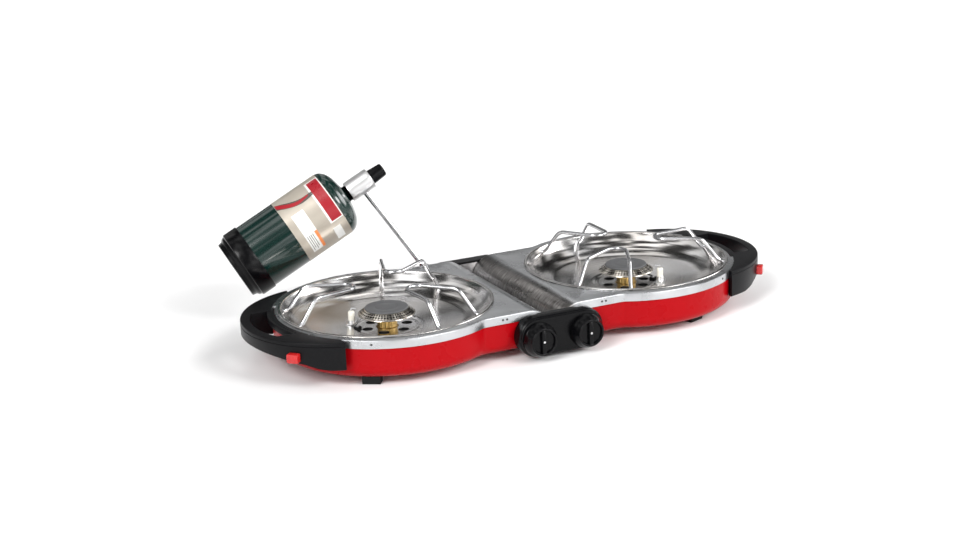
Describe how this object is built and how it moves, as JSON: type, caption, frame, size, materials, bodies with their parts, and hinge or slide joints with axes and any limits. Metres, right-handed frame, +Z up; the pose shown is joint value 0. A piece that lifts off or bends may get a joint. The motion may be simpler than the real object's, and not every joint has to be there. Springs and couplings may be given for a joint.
{
  "type": "camp stove",
  "caption": "Folding two-burner camp stove with round halves, carrying handles, igniter buttons, control knobs and a screw-on gas cylinder on a swivelling regulator arm.",
  "frame": {"origin": "on the ground under the middle of the centre spine", "axes": "+X towards the right burner, +Y towards the back, where the gas comes in, +Z up"},
  "size_m": [0.7728, 0.4491, 0.2058],
  "materials": {
    "galvanised_steel": "satin",
    "red_enamel": "gloss",
    "polished_aluminium": "polished",
    "cast_aluminium": "satin",
    "brass": "satin",
    "chrome": "polished",
    "steel": "satin",
    "black_plastic": "satin",
    "black_rubber": "matte",
    "red_plastic": "gloss",
    "white_ceramic": "gloss",
    "green_enamel": "gloss"
  },
  "bodies": {
    "centre": {"control_housing": "black_plastic", "rear_housing": "black_plastic", "front_hinge_plate": "steel", "rear_hinge_plate": "steel", "centre_spine": "galvanised_steel", "gas_manifold": "brass", "inlet_fitting": "brass", "left_valve": "brass", "right_valve": "brass"},
    "left_half": {"left_case": "red_enamel", "left_top_plate": "galvanised_steel", "left_mixing_tube": "steel", "left_handle": "black_plastic", "left_igniter_lead": "black_rubber", "left_piezo_igniter": "black_plastic", "left_front_foot": "black_rubber", "left_back_foot": "black_rubber", "left_bowl": "polished_aluminium", "left_burner_base": "brass", "left_burner_head": "cast_aluminium", "left_burner_cap": "cast_aluminium", "left_pan_support_1": "chrome", "left_pan_support_2": "chrome", "left_pan_support_3": "chrome", "left_igniter_insulator": "white_ceramic", "left_electrode": "steel"},
    "right_half": {"right_case": "red_enamel", "right_top_plate": "galvanised_steel", "right_mixing_tube": "steel", "right_handle": "black_plastic", "right_igniter_lead": "black_rubber", "right_piezo_igniter": "black_plastic", "right_front_foot": "black_rubber", "right_back_foot": "black_rubber", "right_bowl": "polished_aluminium", "right_burner_base": "brass", "right_burner_head": "cast_aluminium", "right_burner_cap": "cast_aluminium", "right_pan_support_1": "chrome", "right_pan_support_2": "chrome", "right_pan_support_3": "chrome", "right_igniter_insulator": "white_ceramic", "right_electrode": "steel"},
    "left_control": {"left_knob": "black_plastic", "left_valve_stem": "brass"},
    "right_control": {"right_knob": "black_plastic", "right_valve_stem": "brass"},
    "left_igniter": {"left_igniter_button": "red_plastic"},
    "right_igniter": {"right_igniter_button": "red_plastic"},
    "gas_arm": {"arm_nut": "steel", "regulator_arm": "chrome", "regulator_body": "chrome", "regulator_cap": "black_plastic"},
    "gas_cylinder": {"cylinder_shell": "green_enamel", "cylinder_boot": "black_plastic", "cylinder_valve": "black_plastic"}
  },
  "joints": [
    {"name": "fold_left", "type": "hinge", "parent": "centre", "child": "left_half", "pos_m": [-0.0375, 0, 0.032], "axis": [0, 1, 0], "range_deg": [0, 90]},
    {"name": "fold_right", "type": "hinge", "parent": "centre", "child": "right_half", "pos_m": [0.0375, 0, 0.032], "axis": [0, -1, 0], "range_deg": [0, 90]},
    {"name": "turn_left_knob", "type": "hinge", "parent": "centre", "child": "left_control", "pos_m": [-0.0352, -0.165, 0.03], "axis": [0, 1, 0], "range_deg": [0, 270]},
    {"name": "turn_right_knob", "type": "hinge", "parent": "centre", "child": "right_control", "pos_m": [0.0352, -0.165, 0.03], "axis": [0, 1, 0], "range_deg": [0, 270]},
    {"name": "press_left_igniter", "type": "slide", "parent": "left_half", "child": "left_igniter", "axis": [0.7373, 0.6756, 0], "range_m": [0, 0.003], "stiffness_N_per_m": 800},
    {"name": "press_right_igniter", "type": "slide", "parent": "right_half", "child": "right_igniter", "axis": [-0.766, 0.6428, 0], "range_m": [0, 0.003], "stiffness_N_per_m": 800},
    {"name": "swing_arm", "type": "hinge", "parent": "centre", "child": "gas_arm", "pos_m": [-0.059, 0.1495, 0.0482], "axis": [0.4782, -0.3384, -0.8104], "range_deg": [0, 30]},
    {"name": "unscrew_cylinder", "type": "hinge", "parent": "gas_arm", "child": "gas_cylinder", "pos_m": [-0.15058, 0.20575, 0.17017], "axis": [0.869, -0.112, 0.482], "range_deg": [0, 1080]}
  ]
}
